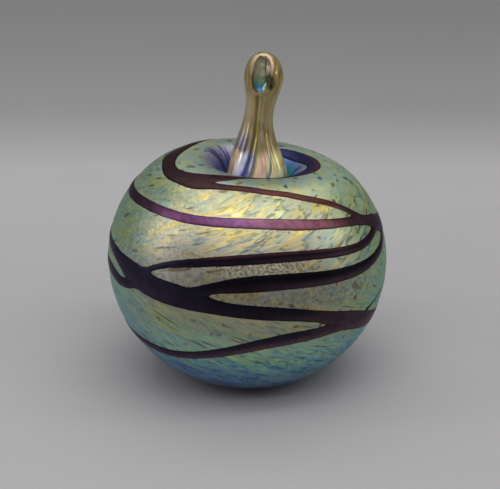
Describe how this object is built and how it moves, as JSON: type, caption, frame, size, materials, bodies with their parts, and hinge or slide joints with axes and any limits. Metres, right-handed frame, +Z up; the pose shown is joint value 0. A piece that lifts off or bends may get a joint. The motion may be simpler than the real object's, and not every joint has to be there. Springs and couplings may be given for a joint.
{
  "type": "glass apple ornament",
  "caption": "Rounded apple-shaped ornament in lustre glass, wrapped in dark melted threads, with a drawn amber stem in its dimple and a ground flat base.",
  "frame": {"origin": "centre of the footprint, on the plane of the ground base", "axes": "+Z up; -Y faces the viewer of the picture; the body's axis leans a little towards +X"},
  "size_m": [0.0906, 0.0907, 0.1073],
  "materials": {
    "core_glass": "dark amethyst glass, inside the lustre layer",
    "lustre_glass": "iridescent satin lustre, gold to green to blue, with dark streaked flecks",
    "trail_glass": "near-black violet glass with a soft sheen",
    "stem_glass": "glossy amber glass with an iridescent skin"
  },
  "bodies": {
    "root": {"core": "core_glass", "lustre_casing": "lustre_glass", "rim_trail": "trail_glass", "shoulder_trail": "trail_glass", "upper_trail": "trail_glass", "fine_trail": "trail_glass", "middle_trail": "trail_glass", "main_trail": "trail_glass", "link_trail": "trail_glass", "lower_trail": "trail_glass", "hair_trail": "trail_glass", "stem": "stem_glass"}
  },
  "joints": []
}
